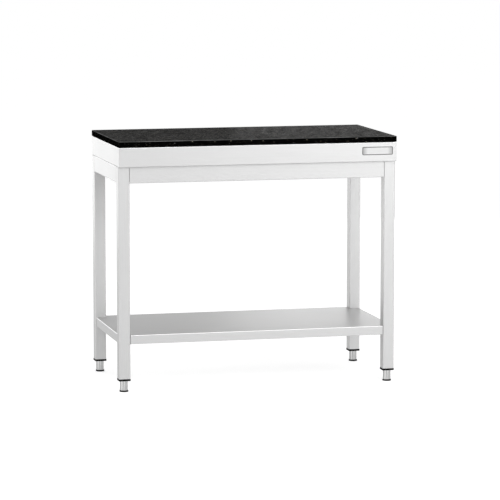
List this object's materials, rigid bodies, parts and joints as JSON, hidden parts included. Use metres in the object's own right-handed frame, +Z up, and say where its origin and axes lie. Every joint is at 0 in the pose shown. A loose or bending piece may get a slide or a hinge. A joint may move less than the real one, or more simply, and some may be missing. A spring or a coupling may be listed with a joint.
{
  "type": "work table",
  "caption": "Stainless steel work table with a dark granite slab top, a deep folded apron, a notched undershelf and screw-adjusted feet under square tube legs.",
  "frame": {"origin": "on the floor under the middle of the top", "axes": "+X along the width, to the right as seen from the front; +Y from front to back; +Z up"},
  "size_m": [1, 0.5, 0.88],
  "materials": {
    "granite": "polished, fine speckle",
    "adhesive": "cured silicone",
    "stainless": "fine brushed",
    "chipboard": "raw board",
    "black_plastic": "matt moulded",
    "grey_plastic": "matt moulded",
    "zinc_steel": "zinc plated"
  },
  "bodies": {
    "table": {"granite_top": "granite", "granite_bed": "adhesive", "top_pan": "stainless", "core_board": "chipboard", "top_stiffener_left": "stainless", "top_stiffener_right": "stainless", "rail_front": "stainless", "rail_back": "stainless", "rail_left": "stainless", "rail_right": "stainless", "leg_front_left": "stainless", "leg_front_right": "stainless", "leg_back_left": "stainless", "leg_back_right": "stainless", "undershelf": "stainless", "shelf_stiffener": "stainless", "leg_plug_front_left": "black_plastic", "leg_plug_front_right": "black_plastic", "leg_plug_back_left": "black_plastic", "leg_plug_back_right": "black_plastic", "plug_nut_front_left": "zinc_steel", "plug_nut_front_right": "zinc_steel", "plug_nut_back_left": "zinc_steel", "plug_nut_back_right": "zinc_steel", "rail_bolt_front_1": "zinc_steel", "rail_bolt_front_2": "zinc_steel", "rail_bolt_back_1": "zinc_steel", "rail_bolt_back_2": "zinc_steel", "rail_bolt_left_1": "zinc_steel", "rail_bolt_left_2": "zinc_steel", "rail_bolt_right_1": "zinc_steel", "rail_bolt_right_2": "zinc_steel", "shelf_bolt_front_left": "zinc_steel", "shelf_bolt_front_right": "zinc_steel", "shelf_bolt_back_left": "zinc_steel", "shelf_bolt_back_right": "zinc_steel", "top_bolt_front_left": "zinc_steel", "top_bolt_front_right": "zinc_steel", "top_bolt_back_left": "zinc_steel", "top_bolt_back_right": "zinc_steel"},
    "foot_glide_front_left": {"foot_pad_front_left": "grey_plastic"},
    "foot_screw_front_left": {"foot_sleeve_front_left": "stainless", "foot_stud_front_left": "zinc_steel"},
    "foot_glide_front_right": {"foot_pad_front_right": "grey_plastic"},
    "foot_screw_front_right": {"foot_sleeve_front_right": "stainless", "foot_stud_front_right": "zinc_steel"},
    "foot_glide_back_left": {"foot_pad_back_left": "grey_plastic"},
    "foot_screw_back_left": {"foot_sleeve_back_left": "stainless", "foot_stud_back_left": "zinc_steel"},
    "foot_glide_back_right": {"foot_pad_back_right": "grey_plastic"},
    "foot_screw_back_right": {"foot_sleeve_back_right": "stainless", "foot_stud_back_right": "zinc_steel"}
  },
  "joints": [
    {"name": "foot_height_front_left", "type": "slide", "parent": "table", "child": "foot_glide_front_left", "axis": [0, 0, -1], "range_m": [0, 0.025]},
    {"name": "foot_turn_front_left", "type": "hinge", "parent": "foot_glide_front_left", "child": "foot_screw_front_left", "pos_m": [-0.479, -0.213, 0.02], "axis": [0, 0, -1], "range_deg": [0, 6000]},
    {"name": "foot_height_front_right", "type": "slide", "parent": "table", "child": "foot_glide_front_right", "axis": [0, 0, -1], "range_m": [0, 0.025]},
    {"name": "foot_turn_front_right", "type": "hinge", "parent": "foot_glide_front_right", "child": "foot_screw_front_right", "pos_m": [0.479, -0.213, 0.02], "axis": [0, 0, -1], "range_deg": [0, 6000]},
    {"name": "foot_height_back_left", "type": "slide", "parent": "table", "child": "foot_glide_back_left", "axis": [0, 0, -1], "range_m": [0, 0.025]},
    {"name": "foot_turn_back_left", "type": "hinge", "parent": "foot_glide_back_left", "child": "foot_screw_back_left", "pos_m": [-0.479, 0.229, 0.02], "axis": [0, 0, -1], "range_deg": [0, 6000]},
    {"name": "foot_height_back_right", "type": "slide", "parent": "table", "child": "foot_glide_back_right", "axis": [0, 0, -1], "range_m": [0, 0.025]},
    {"name": "foot_turn_back_right", "type": "hinge", "parent": "foot_glide_back_right", "child": "foot_screw_back_right", "pos_m": [0.479, 0.229, 0.02], "axis": [0, 0, -1], "range_deg": [0, 6000]}
  ],
  "couplings": [
    {"joint": "foot_height_front_left", "follows": "foot_turn_front_left", "m_per_rad": 0.0002387},
    {"joint": "foot_height_front_right", "follows": "foot_turn_front_right", "m_per_rad": 0.0002387},
    {"joint": "foot_height_back_left", "follows": "foot_turn_back_left", "m_per_rad": 0.0002387},
    {"joint": "foot_height_back_right", "follows": "foot_turn_back_right", "m_per_rad": 0.0002387}
  ]
}
